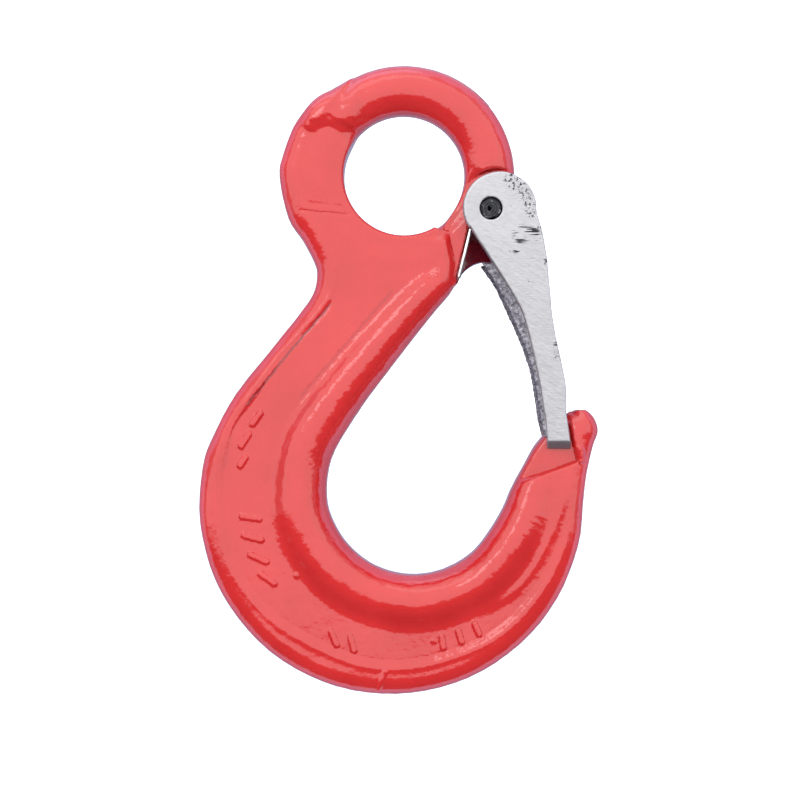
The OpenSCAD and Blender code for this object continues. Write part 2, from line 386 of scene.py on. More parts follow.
def mesh_from_field(name, field, low, high, pitch):
    """A closed smooth mesh of the solid where field(x, y, z) is negative, its points put on the surface."""
    low, high = np.array(low, float) - MESH_MARGIN, np.array(high, float) + MESH_MARGIN
    steps = [np.arange(a, b + pitch, pitch) for a, b in zip(low, high)]
    across, tall = np.meshgrid(steps[0], steps[2], indexing="ij")
    values = np.stack([field(across.ravel(), y, tall.ravel()).reshape(across.shape) for y in steps[1]], 1)
    points, quads = surface_net(values, low, pitch)
    points = onto_field(field, points, 0.4 * pitch)
    mesh = bpy.data.meshes.new(name)
    mesh.vertices.add(len(points))
    mesh.vertices.foreach_set("co", (points * MM).astype(np.float32).ravel())
    mesh.loops.add(quads.size)
    mesh.loops.foreach_set("vertex_index", quads.ravel().astype(np.int32))
    mesh.polygons.add(len(quads))
    mesh.polygons.foreach_set("loop_start", np.arange(0, quads.size, 4, dtype=np.int32))
    piece = new_piece(name, mesh)
    if 2 * len(quads) > TRIANGLE_LIMIT:
        thin_out(piece, TRIANGLE_LIMIT / (2 * len(quads)))
        points = onto_field(field, np.stack(vertex_places(piece), 1), 0.1)
        piece.data.vertices.foreach_set("co", (points * MM).astype(np.float32).ravel())
    piece.data.polygons.foreach_set("use_smooth", np.ones(len(piece.data.polygons), bool))
    slope = field_gradient(field, points, NORMAL_REACH)
    slope /= np.maximum(np.linalg.norm(slope, axis=1)[:, None], 1e-6)
    piece.data.normals_split_custom_set_from_vertices(slope.tolist())
    return piece


def thin_out(piece, share):
    """Leaves a share of the mesh's triangles, fewest where it is flat."""
    modifier = piece.modifiers.new("thin", "DECIMATE")
    modifier.ratio = share
    shown = piece.evaluated_get(bpy.context.evaluated_depsgraph_get())
    mesh = bpy.data.meshes.new_from_object(shown)
    piece.modifiers.clear()
    piece.data = mesh


def set_vertex_values(piece, name, values):
    """A number on every vertex, for a material to read."""
    layer = piece.data.attributes.new(name, "FLOAT", "POINT")
    layer.data.foreach_set("value", np.asarray(values, np.float32))


def vertex_places(piece):
    """The piece's vertices in millimetres, as columns x, y and z."""
    places = np.empty(3 * len(piece.data.vertices), np.float32)
    piece.data.vertices.foreach_get("co", places)
    return places.reshape(-1, 3).T.astype(float) / MM


# ------------------------------------------------------------------ the forged hook

RING_OUT_R = 25.6
LAND = EYE["dims"]["length_mm"]
RING_R = (RING_OUT_R ** 2 - BORE_R ** 2 - LAND ** 2 / 4) / (2 * (RING_OUT_R - BORE_R))
RING_SECTION = RING_OUT_R - RING_R
BOWL, BOWL_R = (2.4, -71.6), 20.5
BACK, BACK_R = (-3, -75), 44.3
NECK_HALF, WEB_HALF, RIM_HALF, LUG_HALF = 6.2, 5.8, 6.3, 4.5
EDGE_R = 4.4
POCKET_FLOOR, POCKET_SLOPE, COIL_ROOM_R, PIN_R = -0.9, 0.32, 4.3, 2.5
BEAD_POWER = 2.3
# How much slimmer the eye's ring is below its middle
RING_SLIMMER = 0.7
# How high the shoulder's ledge stands on the flat of the forging and on the eye's ring
LEDGE_ON_FLAT, LEDGE_ON_RING = 1.5, 1.3
# The seam left along the outer edge by the dies: its height and half width
FLASH_UP, FLASH_WIDTH = 0.13, 0.9
# Taken off all round, so that the lumps stay inside the CAD model's box
INSET = 0.16
# Lumps of the forged skin and of the latch's cast skin: height, size and seed
HOOK_LUMPS = [(0.07, 14, 3), (0.022, 3.2, 5)]
LATCH_LUMPS = [(0.03, 9, 12), (0.012, 1.4, 13)]
# Fillets where the eye's ring and the lug join the forging, and the rounding of the lug's edge
RING_FILLET, LUG_FILLET, LUG_EDGE_R = 1.4, 0.8, 0.5
# How soft the edges of each cut are: the eye's bore, the recesses, the spring's pocket, the pin's hole
BORE_SOFT, RECESS_SOFT, POCKET_SOFT, PIN_SOFT = 1.4, 0.7, 0.4, 0.1


def bowl_rows(centre, radius, angles, *sizes):
    """Rows of x, z and sizes round an arc, each size running evenly from its first to its second value."""
    points = arc(centre, radius, angles[0], angles[1], angles[2])
    columns = [np.linspace(a, b, len(points)) for a, b in sizes]
    return [[*p, *row] for p, row in zip(points, zip(*columns))]


# Inner edge from the lug down round the bowl to the tip: x, z, then the bead's half thickness, half width
# and fillet
INNER = spline([
    [11, -13, 5.6, 2.6, 1.4], [12.7, -19.5, 5.8, 2.8, 1.4], [11.4, -25.8, 7, 4.2, 1], [6.4, -32, 7.7, 5, 1],
    [-3.1, -44, 8.2, 5.6, 1], [-11.9, -56, 8.6, 6.1, 1.2], [-16.9, -65, 8.8, 6.4, 1.5],
    *bowl_rows(BOWL, BOWL_R, (186, 330, 9), (8.8, 8.7), (6.4, 5.3), (1.8, 2.6)),
    [23.2, -76.5, 8.1, 5, 2.2], [25, -72, 7.3, 4.5, 1.9], [27.9, -66.5, 6.5, 3.4, 1.6],
    [30.4, -62, 6, 2.8, 1.4], [33.4, -58.6, 5.6, 2.6, 1.4], [37, -55.3, 4.6, 2.2, 1.4],
    [38.6, -54.1, 3.6, 1.8, 1.4]], 4)
# Outer edge from the eye's shoulder down round the back to the tip
OUTER = np.vstack([[[-9.5, 7.5], [-14.4, 13.4], [-13.2, 18.5]], spline([
    [-12.2, 22.3], [-16.2, 20.2], [-19.6, 18.5], [-22.4, 15.8], [-25.6, 11.4], [-27.9, 5], [-28.7, 0],
    [-26.7, -9.7], [-23.2, -15], [-20.6, -20],
    [-20.1, -23], [-21, -27], [-24.4, -32], [-29.2, -38], [-38.7, -50], [-44, -59.6], [-46.5, -67],
    *arc(BACK, BACK_R, 186, 330, 9), [40.2, -85], [41.4, -75], [42.1, -69], [43.5, -62.5],
    [44.7, -58.6], [43.7, -55.4], [41.9, -53.8]], 4), [[40.2, -53.7], [38.6, -54.1]]])
OUTLINE = np.vstack([OUTER, INNER[::-1, :2], [[0, -10]]])
# Line where the outer rim drops to the recessed web
RIM_LINE = spline([
    [-14.3, -11], [-13.4, -18], [-14.6, -25], [-17.5, -30.5], [-24, -37.7], [-28.8, -42.8], [-35, -51.5],
    [-38.8, -56.5], [-40.9, -62], [-42, -70], [-41, -81], [-37, -92], [-28, -102], [-12.5, -110],
    [-0.9, -111.6], [10.6, -109.3], [22.2, -103.5], [31.4, -93], [35.6, -84], [37.2, -76], [37.6, -70]], 4)
# Where along that line the drop, and the groove and lip beside it, come and go, counted in its points
RIM_FADE_IN, RIM_FADE_OUT = (12, 24), (62, 80)
LINE_FADE_IN, LINE_FADE_OUT = (9.5, 12), (72, 79)
# The groove and the lip along it: depth or height, half width, and the lip's distance from the line
GROOVE_DOWN, GROOVE_WIDTH = 0.2, 0.6
LIP_UP, LIP_WIDTH, LIP_AWAY = 0.15, 0.8, 1.3
WEB_REGION = np.vstack([RIM_LINE, INNER[::-1, :2]])
CHEEK_RECESS = [[13.4, -5.5], [10.4, -13.5], [11.9, -20.5], [11.9, -30], [40, -30], [30, -8]]
HEAD, SWUNG_HEAD, HEAD_R = np.array([21.8, -7.8]), PIVOT + np.array([1.77, -0.94]), 8.9
TIP_SEAT = [[20, -45], [37.4, -45], [37.4, -54.4], [38.3, -60.8], [39.4, -65.2], [34, -67.2], [27.3, -69.3],
            [20, -70.5]]
SPRING_POCKET = [[15.9, -7.3], [11.9, -23], [11.9, -30], [34, -30], [28, -9], [24, -6]]
LUG = [[6, -18], [10, -25.4], [11.9, -25.2], *arc((19.1, -26.6), 6.8, 162, 104, 7),
       *arc(PIVOT, 12.1, -98, -75, 5), *arc(PIVOT, 6.5, -45, 40, 7), [20, 6], [14, 0]]
# A ridge that runs up the arm to the tip: its line, height and half width
RIDGE = spline([[14, -101.6], [22.2, -97.3], [28.6, -91.2], [33.7, -82], [36.4, -74.2], [37, -69.5]], 4)
RIDGE_UP, RIDGE_WIDTH = 0.35, 1.1
# Creases in the paint of the near side: two ends of each, its half width and how dark its painted shade is
CREASES = [((-16.2, -29), (-27.3, -42), 0.3, 0.9), ((-24.7, -38.8), (-36.4, -53.3), 0.3, 0.9),
           ((-35.3, -51.7), (-39.6, -59.5), 0.3, 0.25), ((-39, -58), (-41, -68), 0.35, 0.15),
           ((-2.4, -26.4), (-24, -51.3), 0.4, 0.3), ((-23.6, -8.2), (-12.6, -9.2), 0.2, 0.2)]
# Plain raised pips and bars on the web, in the places where such hooks carry raised marks
MARKS = [((-37.2, -62), (-35.4, -59.2)), ((-34.6, -57), (-32.8, -54.4)), ((-37.4, -66.4), (-36.2, -64.6)),
         ((-37, -78), (-33, -78.6)), ((-36.4, -82.4), (-32.6, -83.4)), ((-35, -86.8), (-31.4, -88.4)),
         ((-32.6, -91.2), (-29.6, -93.4)), ((-16.6, -104.4), (-15.4, -107.4)),
         ((-12.2, -105.6), (-11.4, -108.6)), ((8.6, -105.4), (9, -108)), ((12.4, -104.2), (13.2, -106.8)),
         ((16.2, -102.6), (17.2, -105))]
MARK_R, MARK_UP = 0.6, 0.4
# Faint lines left across the near side of the shoulder by forging
SHEAR_LINES = [((-23.6, -8.2), (-12.6, -9.2)), ((-21.5, -6.6), (-14.5, -7.3))]
SHEAR_DOWN, SHEAR_WIDTH = 0.1, 0.45
# Drops and a run of thick paint: two ends of each, its radius and how far it stands up
RUNS = [((40.3, -62.8), (40.5, -65.2), 0.8, 0.5), ((-24.7, -91.5), (-24.6, -91.7), 0.5, 0.3),
        ((6.7, -106.5), (6.8, -106.6), 0.5, 0.3), ((-4.4, -113.6), (-6, -118.2), 0.55, 0.3)]


def plan_thickness(points):
    """Half thickness of the flat part of the forging over the X-Z plane, for its far and its near face."""
    to_rim, along = polyline_distance(points, RIM_LINE)
    to_rim = np.where(inside_polygon(points, WEB_REGION), to_rim, -to_rim)
    fade = step(along, *RIM_FADE_IN) * (1 - step(along, *RIM_FADE_OUT))
    half = NECK_HALF + (RIM_HALF - NECK_HALF) * step(-points[:, 1], 38, 55)
    half = half - fade * (half - WEB_HALF) * step(to_rim, -0.1, 0.9)
    line = (0.25 + 0.75 * step(along, *LINE_FADE_IN)) * (1 - step(along, *LINE_FADE_OUT))
    half = (half - GROOVE_DOWN * line * np.exp(-(to_rim / GROOVE_WIDTH) ** 2)
            + LIP_UP * line * np.exp(-((to_rim + LIP_AWAY) / LIP_WIDTH) ** 2))
    to_ridge, place = polyline_distance(points, RIDGE)
    ends = step(place, 0, 6) * (1 - step(place, len(RIDGE) - 6, len(RIDGE) - 1))
    half = half + RIDGE_UP * ends * np.exp(-(to_ridge / RIDGE_WIDTH) ** 2)
    near = half.copy()
    for a, b in SHEAR_LINES:
        near = near - SHEAR_DOWN * np.exp(-(capsule_distance(points, a, b, 0) / SHEAR_WIDTH) ** 2)
    for a, b in MARKS:
        near = near + MARK_UP * step(-capsule_distance(points, a, b, MARK_R), -0.3, 0.15)
    return half, near + LEDGE_ON_FLAT * shoulder_ledge(points)


def shoulder_ledge(points):
    """1 above the ragged ledge that crosses the near side of the shoulder, 0 below it."""
    x, z = points.T
    line = 9.4 + 1.2 * np.exp(-((x + 17.5) / 2) ** 2) + 0.3 * lumps(x, 0, z, 2.6, 21)
    ramp_up = step(z - line, 0, 3.4)
    return ramp_up * step(x, -25, -21) * (1 - step(x, -12.5, -8.5)) * (1 - step(z, 15, 22))


def tilted_cut(y, outline_distance, floor, slope):
    """Solid above a floor inside an outline, whose wall leans outwards."""
    depth = np.abs(y) - floor
    wall = (-outline_distance - slope * depth) / np.hypot(1, slope)
    return np.maximum(-depth, wall)


def hook_plan(points):
    """What the hook's shape depends on over the X-Z plane."""
    inside = inside_polygon(points, OUTLINE)
    to_inner, along = polyline_distance(points, INNER[:, :2])
    to_outer, _ = polyline_distance(points, OUTER)
    edge = np.where(inside, smooth_min(to_inner, to_outer, 2.5), -np.minimum(to_inner, to_outer))
    far, near = plan_thickness(points)
    rows = np.arange(len(INNER))
    thick = np.interp(along, rows, INNER[:, 2])
    wide = np.interp(along, rows, INNER[:, 3])
    to_bead = np.where(inside | (to_outer < to_inner), to_inner, -to_inner)
    past_ends = np.where(inside | (to_inner < np.minimum(to_outer, 3)), 0, 9)
    to_cheek = signed_distance(points, CHEEK_RECESS)
    for centre in (HEAD, SWUNG_HEAD):
        to_cheek = np.maximum(to_cheek, HEAD_R - np.hypot(*(points - centre).T))
    fillet = np.interp(along, rows, INNER[:, 4])
    paint = sum(up * step(-capsule_distance(points, a, b, r), -0.3, 0.4) for a, b, r, up in RUNS)
    to_lug, to_seat, to_pocket = (signed_distance(points, ring) for ring in (LUG, TIP_SEAT, SPRING_POCKET))
    return (edge, far, near, thick, wide, fillet, to_bead, past_ends, to_lug, to_cheek, to_seat, to_pocket,
            paint, shoulder_ledge(points))


def hook_field(x, y, z):
    """The forged hook: negative inside it."""
    (edge, far, near, thick, wide, fillet, to_bead, past_ends, to_lug, to_cheek, to_seat, to_pocket,
     paint, ledge) = HOOK_PLAN(x, z)
    body = slab(edge, y, np.where(y < 0, near, far), EDGE_R)
    bead = np.abs((to_bead - wide) / wide) ** BEAD_POWER + np.abs(y / thick) ** BEAD_POWER
    bead = bead ** (1 / BEAD_POWER) - 1
    solid = smooth_min(body, bead * wide + past_ends, fillet)
    radius = np.hypot(x, z)
    ring = (np.hypot(radius - RING_R, y) - RING_SECTION + RING_SLIMMER * step(-z, 1, 8)
            - LEDGE_ON_RING * ledge * step(-y, 0, 4))
    solid = smooth_min(solid, ring, RING_FILLET)
    solid = smooth_min(solid, slab(to_lug, y, LUG_HALF, LUG_EDGE_R), LUG_FILLET)
    flash = FLASH_UP * np.exp(-(y / FLASH_WIDTH) ** 2) * step(to_bead, 4, 7) * step(-edge, -3, -1)
    solid = solid - flash - paint * (y < 0) + INSET
    for up, size, seed in HOOK_LUMPS:
        solid = solid + up * lumps(x, y, z, size, seed)

    near_bore = 1 - step(radius, BORE_R + 1, BORE_R + 4.5)
    lean = 0.25 + 0.55 * step(-z, 5, 12) + near_bore
    solid = cut_away(solid, tilted_cut(y, to_cheek, LUG_HALF, lean), RECESS_SOFT + 2.5 * near_bore)
    solid = cut_away(solid, tilted_cut(y, to_seat, LUG_HALF, 0.35), RECESS_SOFT)
    from_pin = np.hypot(x - PIVOT[0], z - PIVOT[1])
    deeper = POCKET_SLOPE * np.clip(x - 12, 0, 9) * step(from_pin, 5, 8)
    pocket = np.maximum(np.minimum(-to_pocket, from_pin - COIL_ROOM_R), y - POCKET_FLOOR - deeper)
    solid = cut_away(solid, pocket, POCKET_SOFT)
    solid = cut_away(solid, radius - BORE_R, BORE_SOFT)
    return cut_away(solid, from_pin - PIN_R, PIN_SOFT)


HOOK_BOX = np.array(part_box("hook_body")) / MM
HOOK_PLAN = Plan(HOOK_BOX, HOOK_PLAN_PITCH, hook_plan)
# Which of hook_plan's values is the distance to the spring's pocket
POCKET_COLUMN = 11


def make_hook():
    """The forged hook, with a number on each point for the painted shade in the spring's pocket."""
    hook = mesh_from_field("forged_hook", hook_field, *HOOK_BOX, HOOK_PITCH)
    x, y, z = vertex_places(hook)
    to_pocket = HOOK_PLAN(x, z)[POCKET_COLUMN]
    # Painted shade: the paint on the recessed floor of the spring's pocket is darkened as if in shadow
    pocket_shade = step(to_pocket, 0, 0.6) * step(y, -4.2, -2.5) * (1 - step(y, 3.8, 4.2))
    set_vertex_values(hook, "pocket_shade", pocket_shade)
    hook.data.materials.append(red_paint())
    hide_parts("hook_body")
    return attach(hook, "hook")


# ------------------------------------------------------------------ the latch

LATCH_BOX = np.array(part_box("latch")) / MM
LATCH_END = LATCH_BOX[0][2]
HEAD_HALF, TIP_HALF, TIP_END_HALF = LATCH_BOX[1][1], 6.9, 5.3
BEVEL_TOP, TAPER_TOP = LATCH_END + 1.9, -14
CHEEK_INNER, LIP_HALF, LATCH_WEB = 4.8, 6.3, 2.4
LATCH_HOLE_R = 2.58
LATCH_BACK = spline([[30.3, -9.2], [31.5, -13.3], [32.6, -20], [33.5, -29.6], [34.6, -37.3],
                     [36.5, -46], [37, -50.3]], 3)
LATCH_FRONT = spline([[32.7, -60.6], [32.1, -55], [30.9, -47.7], [29.5, -41], [27.6, -33.5], [25, -27.8],
                      [15.1, -12.3]], 4)
CHEEK = np.vstack([arc(HEAD, 8.3, 216, -2, 30), LATCH_BACK,
                   [[37, -54.3], [37.9, -60.8], [38.1, LATCH_END], [32.8, LATCH_END]], LATCH_FRONT])
LIP = np.vstack([[[18, -20.4]], spline([[18.4, -21], [21.2, -25], [24, -31], [27, -37.6], [29.4, -44.5],
                                        [30.4, -50], [31.3, -56], [32.2, -59.8]], 3),
                 [[34, -59.8], [33, -50], [30, -20.4]]])
# The space inside the latch, open towards the mouth, round the head and between the prongs
CHANNEL = np.vstack([[[0, 8], [60, 8], [60, -3.9], [27.9, -3.9]], LATCH_BACK - [LATCH_WEB, 0],
                     [[34.6, -51.6], [60, -51.6], [60, -70], [0, -70]]])
# Where the cheeks are pitted, and where they are scratched across: place and reach
PITS = [((24.4, -1.4), 1.7), ((26.2, -2.8), 1.5), ((28, -5), 1.3), ((28.6, -7.4), 1.3), ((28.8, -9.2), 1),
        ((31.2, -12.8), 1.2), ((35.4, -41), 1.3), ((32, -20), 0.7)]
SCRATCHES = [((26.4, -13.6), 2.2), ((29.6, -13.8), 1.8), ((25.7, -17), 1.3), ((35, -39), 1.2)]


def latch_plan(points):
    """What the latch's shape depends on over the X-Z plane."""
    return signed_distance(points, CHEEK), signed_distance(points, CHANNEL), signed_distance(points, LIP)


LATCH_PLAN = Plan(LATCH_BOX, LATCH_PLAN_PITCH, latch_plan)


def latch_field(x, y, z):
    """The cast latch: negative inside it."""
    to_edge, to_channel, to_lip = LATCH_PLAN(x, z)
    side = np.abs(y)
    half = np.interp(z, [LATCH_END, BEVEL_TOP, TAPER_TOP], [TIP_END_HALF, TIP_HALF, HEAD_HALF])
    solid = slab(to_edge + 0.05 * lumps(x, y, z, 7, 11), y, half, 0.45)
    for up, size, seed in LATCH_LUMPS:
        solid = solid + up * lumps(x, y, z, size, seed)
    solid = cut_away(solid, np.maximum(-to_channel, side - CHEEK_INNER), 0.4)
    lip_middle, lip_thickness = (LIP_HALF + CHEEK_INNER) / 2, LIP_HALF - CHEEK_INNER
    ragged = 0.1 * lumps(x, y, z, 1.6, 14) - 0.1
    lip_faces = np.abs(side - lip_middle) - lip_thickness / 2 + 0.3 * ragged - 0.03
    solid = smooth_min(solid, smooth_max(-to_lip + ragged, lip_faces, 0.4), 0.25)
    return cut_away(solid, np.hypot(x - PIVOT[0], z - PIVOT[1]) - LATCH_HOLE_R, 0.25)


def make_latch():
    """The cast latch, with numbers on each point for its roughness, pits, scratches and painted shade on
    its end.
    """
    latch = mesh_from_field("latch_casting", latch_field, *LATCH_BOX, LATCH_PITCH)
    x, y, z = vertex_places(latch)
    to_edge, _, _ = LATCH_PLAN(x, z)
    set_vertex_values(latch, "rough_skin", step(-to_edge, -0.1, 0.25))
    for name, spots in (("pitted", PITS), ("scratched", SCRATCHES)):
        amount = sum(np.exp(-((x - a) ** 2 + (z - b) ** 2) / reach ** 2) for (a, b), reach in spots)
        set_vertex_values(latch, name, np.clip(amount, 0, 1) * step(np.abs(y), CHEEK_INNER, LIP_HALF))
    set_vertex_values(latch, "shaded_end_face", 1 - step(z, BEVEL_TOP - 0.5, BEVEL_TOP + 0.1))
    latch.data.materials.append(latch_steel())
    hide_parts("latch")
    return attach(latch, "latch")


# ------------------------------------------------------------------ the spring pin and the spring

def mesh_from_rings(name, rings, caps):
    """A skin over rings with equal numbers of points, in millimetres. The faces in caps, which number the
    points of one ring, close both ends."""
    rings = np.array(rings)
    count, around = rings.shape[:2]
    faces = [(i * around + j, i * around + (j + 1) % around, (i + 1) * around + (j + 1) % around,
              (i + 1) * around + j) for i in range(count - 1) for j in range(around)]
    last = (count - 1) * around
    faces += [face[::-1] for face in caps] + [[last + j for j in face] for face in caps]
    mesh = bpy.data.meshes.new(name)
    mesh.from_pydata((rings.reshape(-1, 3) * MM).tolist(), [], faces)
    mesh.polygons.foreach_set("use_smooth", [True] * len(mesh.polygons))
    work = bmesh.new()
    work.from_mesh(mesh)
    bmesh.ops.recalc_face_normals(work, faces=work.faces)
    work.to_mesh(mesh)
    work.free()
    return new_piece(name, mesh)


def make_pin():
    """A coiled spring pin: a strip rolled into three and a half turns, with a chamfer at each end."""
    low, high = np.array(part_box("spring_pin")) / MM
    strip, gap, chamfer = 0.5, 0.09, 0.55
    # The strip starts at -60 degrees, and at the end of each turn it steps in under the turn before
    start, wrap, count, step_in, stepped_in = -60, 1260, 210, 285, 355
    turned = np.linspace(0, wrap, count)
    inward = sum(step(turned, step_in + turn, stepped_in + turn) for turn in (0, 360, 720))
    middle = PIN_R - strip / 2 - (strip + gap) * inward
    angle = np.radians(start + turned)
    rings = []
    for y, trim in ((low[1], 0.36), (low[1] + 0.08, 0.28), (low[1] + chamfer, 0), (0, 0),
                    (high[1] - chamfer, 0), (high[1] - 0.08, 0.28), (high[1], 0.36)):
        outer = middle + strip / 2 - trim * (turned < step_in)
        inner = (middle - strip / 2)[::-1]
        radius = np.concatenate([outer, inner])
        around = np.concatenate([angle, angle[::-1]])
        rings.append(np.stack([PIVOT[0] + radius * np.cos(around), np.full(2 * count, y),
                               PIVOT[1] + radius * np.sin(around)], 1))
    caps = [(i, i + 1, 2 * count - 2 - i, 2 * count - 1 - i) for i in range(count - 1)]
    pin = mesh_from_rings("coiled_pin", rings, caps)
    sharpen(pin, 35)
    pin.data.materials.append(black_steel())
    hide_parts("spring_pin")
    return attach(pin, "hook")


def sharpen(piece, angle):
    """Marks edges that turn more than an angle as sharp, so that flats stay flat."""
    work = bmesh.new()
    work.from_mesh(piece.data)
    for edge in work.edges:
        edge.smooth = len(edge.link_faces) < 2 or edge.calc_face_angle() < math.radians(angle)
    work.to_mesh(piece.data)
    work.free()


COIL_NEAR, COIL_FAR, COIL_R, WIRE_R = -3.9, -1.45, 3.3, 0.48
HOOK_LEG_ANGLE, LATCH_LEG_ANGLE, COIL_TURNS = 165.6, 21.4, 2
HOOK_LEG_END, LATCH_LEG_END = (12.5, -23.6), (29.7, -24.4)


def make_spring():
    """A torsion spring of round wire: two turns round the pin, a leg on the hook and one on the latch."""
    steps, sides = 110, 14
    sweep = 360 * COIL_TURNS + HOOK_LEG_ANGLE - LATCH_LEG_ANGLE
    coil = [(*p, COIL_NEAR + (COIL_FAR - COIL_NEAR) * i / steps) for i, p in
            enumerate(arc(PIVOT, COIL_R, HOOK_LEG_ANGLE, HOOK_LEG_ANGLE - sweep, steps + 1))]
    path = [(*HOOK_LEG_END, COIL_NEAR)] + coil + [(*LATCH_LEG_END, COIL_FAR)]
    path = np.array([(x, y, z) for x, z, y in path])
    ends = {0: (path[1] - path[0]), -1: (path[-2] - path[-1])}
    length = {k: v / np.linalg.norm(v) for k, v in ends.items()}
    path = np.vstack([path[0], path[0] + 0.12 * length[0], path[0] + 0.4 * length[0], path[1:-1],
                      path[-1] + 0.4 * length[-1], path[-1] + 0.12 * length[-1], path[-1]])
    radii = np.full(len(path), WIRE_R)
    radii[[0, -1]] = 0.55 * WIRE_R
    radii[[1, -2]] = 0.85 * WIRE_R
    rings = []
    for i, centre in enumerate(path):
        along = path[min(i + 1, len(path) - 1)] - path[max(i - 1, 0)]
        along /= np.linalg.norm(along)
        side = np.cross(along, (0, 1, 0))
        side /= np.linalg.norm(side)
        up = np.cross(side, along)
        turn = np.linspace(0, 2 * math.pi, sides, endpoint=False)[:, None]
        rings.append(centre + radii[i] * (np.cos(turn) * side + np.sin(turn) * up))
    spring = mesh_from_rings("torsion_spring", rings, [list(range(sides))])
    sharpen(spring, 50)
    spring.data.materials.append(spring_wire())
    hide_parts("latch_spring")
    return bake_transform(spring)


# ------------------------------------------------------------------ materials

def shader_nodes(name):
    """A new material, its node tree and its main shader."""
    material = bpy.data.materials.new(name)
    material.use_nodes = True
    tree = material.node_tree
    shader = tree.nodes["Principled BSDF"]
    return material, tree, shader


def noise(tree, scale, detail=3, roughness=0.5):
    """Noise that is fixed to the object, with scale in lumps per metre."""
    node = tree.nodes.new("ShaderNodeTexNoise")
    node.inputs["Scale"].default_value = scale
    node.inputs["Detail"].default_value = detail
    node.inputs["Roughness"].default_value = roughness
    place = tree.nodes.new("ShaderNodeTexCoord")
    tree.links.new(place.outputs["Object"], node.inputs["Vector"])
    return node


def ramp(tree, source, stops):
    """Colours along a value; stops are (position, colour) pairs."""
    node = tree.nodes.new("ShaderNodeValToRGB")
    tree.links.new(source, node.inputs["Fac"])
    elements = node.color_ramp.elements
    while len(elements) < len(stops):
        elements.new(0.5)
    for element, (position, color) in zip(elements, stops):
        element.position = position
        element.color = (*color, 1)
    return node


def bump(tree, shader, source, strength, distance, below=None):
    """A bump map on the shader, on top of another one if it is given."""
    node = tree.nodes.new("ShaderNodeBump")
    node.inputs["Strength"].default_value = strength
    node.inputs["Distance"].default_value = distance
    tree.links.new(source, node.inputs["Height"])
    if below:
        tree.links.new(below.outputs["Normal"], node.inputs["Normal"])
    tree.links.new(node.outputs["Normal"], shader.inputs["Normal"])
    return node


def gray_range(tree, source, low, high):
    """A value spread between two numbers."""
    node = tree.nodes.new("ShaderNodeMapRange")
    node.inputs["To Min"].default_value = low
    node.inputs["To Max"].default_value = high
    tree.links.new(source, node.inputs["Value"])
    return node.outputs["Result"]


def vertex_value(tree, name):
    """A number that was put on each vertex."""
    node = tree.nodes.new("ShaderNodeAttribute")
    node.attribute_name = name
    return node.outputs["Fac"]


def mix_color(tree, amount, a, b):
    """Colour a turning into colour b; each is a socket or three numbers."""
    node = tree.nodes.new("ShaderNodeMix")
    node.data_type = "RGBA"
    tree.links.new(amount, node.inputs["Factor"])
    for socket, value in ((node.inputs["A"], a), (node.inputs["B"], b)):
        if isinstance(value, tuple):
            socket.default_value = (*value, 1)
        else:
            tree.links.new(value, socket)
    return node.outputs["Result"]


def crease(tree, a, b, half_width, waver):
    """1 along a straight line between two (x, z) places on the near side, 0 away from it."""
    a, b = np.array(a), np.array(b)
    length = np.linalg.norm(b - a)
    along = (b - a) / length
    place = tree.nodes.new("ShaderNodeTexCoord")
    values = []
    for direction in (along, (-along[1], along[0])):
        node = tree.nodes.new("ShaderNodeVectorMath")
        node.operation = "DOT_PRODUCT"
        node.inputs[1].default_value = (direction[0], 0, direction[1])
        tree.links.new(place.outputs["Object"], node.inputs[0])
        values.append(calculate(tree, "SUBTRACT", node.outputs["Value"], float(a @ direction) * MM))
    off = calculate(tree, "ABSOLUTE", calculate(tree, "ADD", values[1], waver), 0)
    across = smooth_range(tree, off, 1.5 * half_width * MM, 0.3 * half_width * MM)
    ends = calculate(tree, "MULTIPLY", smooth_range(tree, values[0], 0, 1.5 * MM),
                     smooth_range(tree, values[0], length * MM, (length - 1.5) * MM))
    depth = tree.nodes.new("ShaderNodeSeparateXYZ")
    tree.links.new(place.outputs["Object"], depth.inputs[0])
    near = smooth_range(tree, depth.outputs["Y"], -3 * MM, -4 * MM)
    return calculate(tree, "MULTIPLY", across, calculate(tree, "MULTIPLY", ends, near))


def red_paint():
    """Thick glossy red enamel over a forged surface, with painted shade along its creases and in the
    spring's pocket.
    """
    material, tree, shader = shader_nodes("red_paint")
    tint = ramp(tree, noise(tree, 90, 5).outputs["Fac"],
                [(0.3, (0.36, 0.0085, 0.0085)), (0.7, (0.405, 0.012, 0.012))])
    waver = smooth_range(tree, noise(tree, 500, 2).outputs["Fac"], 0.3, 0.7, -0.12 * MM, 0.12 * MM)
    # Painted shade: the paint is darkened along the creases, where shade falls, and in the spring's pocket
    creased, painted_shade = 0, 0
    for a, b, half_width, shade_darkness in CREASES:
        line = crease(tree, a, b, half_width, waver)
        creased = calculate(tree, "MAXIMUM", creased, line)
        painted_shade = calculate(tree, "MAXIMUM", painted_shade, calculate(tree, "MULTIPLY", line, shade_darkness))
    painted_shade = calculate(tree, "MAXIMUM", calculate(tree, "MULTIPLY", painted_shade, 0.8), vertex_value(tree, "pocket_shade"))
    color = mix_color(tree, painted_shade, tint.outputs["Color"], (0.11, 0.003, 0.008))
    tree.links.new(color, shader.inputs["Base Color"])
    rough = gray_range(tree, noise(tree, 700, 3).outputs["Fac"], 0.34, 0.5)
    tree.links.new(rough, shader.inputs["Roughness"])
    shader.inputs["Specular IOR Level"].default_value = 0.1
    shader.inputs["Coat Weight"].default_value = 1
    shader.inputs["Coat Roughness"].default_value = 0.1
    shader.inputs["Coat IOR"].default_value = 1.5
    groove = bump(tree, shader, calculate(tree, "SUBTRACT", 1, creased), 1, 0.035 * MM)
    peel = bump(tree, shader, noise(tree, 900, 2).outputs["Fac"], 0.12, 0.0006, groove)
    tree.links.new(peel.outputs["Normal"], shader.inputs["Coat Normal"])
    return material


